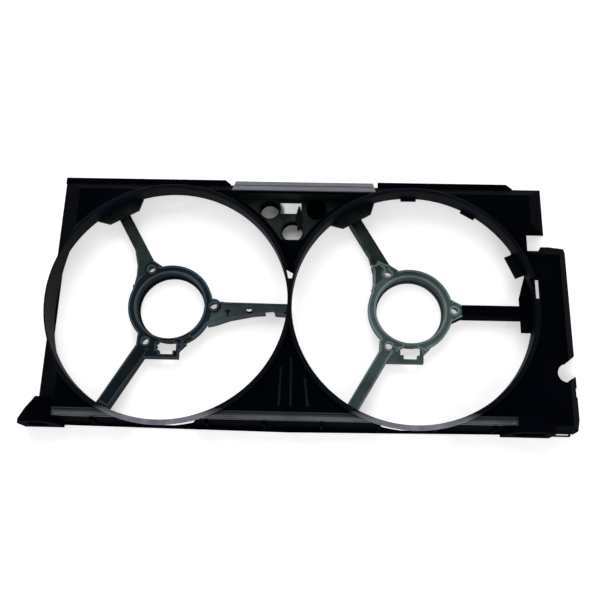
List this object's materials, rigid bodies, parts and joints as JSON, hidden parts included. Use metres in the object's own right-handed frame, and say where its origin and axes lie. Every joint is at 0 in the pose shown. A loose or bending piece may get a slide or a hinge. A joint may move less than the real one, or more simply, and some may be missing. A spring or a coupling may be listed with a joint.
{
  "type": "radiator fan shroud",
  "caption": "Moulded black shroud with round fan openings side by side, spoked motor rings, a recessed pan and lower mounting eyes.",
  "frame": {"origin": "centre of the footprint, on the plane that faces the radiator", "axes": "+X across the car from the round mounting eye to the cable panel, +Y up when fitted, +Z towards the engine"},
  "size_m": [0.685, 0.3425, 0.05],
  "materials": {
    "black_plastic": "injection moulded, fine grain with a low sheen",
    "clip_plastic": "smooth moulded nylon"
  },
  "bodies": {
    "root": {"cable_clip": "clip_plastic", "cable_panel": "black_plastic", "centre_rail": "black_plastic", "cross_beam": "black_plastic", "left_connector_bracket": "black_plastic", "left_fan_ring": "black_plastic", "left_lower_arm": "black_plastic", "left_lower_eye": "black_plastic", "left_motor_ring": "black_plastic", "left_rail": "black_plastic", "left_side_arm": "black_plastic", "left_top_lip": "black_plastic", "left_upper_arm": "black_plastic", "lower_centre_deck": "black_plastic", "lower_left_deck": "black_plastic", "lower_loop": "black_plastic", "lower_right_deck": "black_plastic", "pan_cup": "black_plastic", "recess_pan": "black_plastic", "ribbed_sill": "black_plastic", "right_connector_bracket": "black_plastic", "right_fan_ring": "black_plastic", "right_lower_arm": "black_plastic", "right_lower_eye": "black_plastic", "right_motor_ring": "black_plastic", "right_rail": "black_plastic", "right_side_arm": "black_plastic", "right_top_lip": "black_plastic", "right_upper_arm": "black_plastic", "upper_centre_deck": "black_plastic", "upper_left_deck": "black_plastic", "upper_right_deck": "black_plastic"}
  },
  "joints": []
}
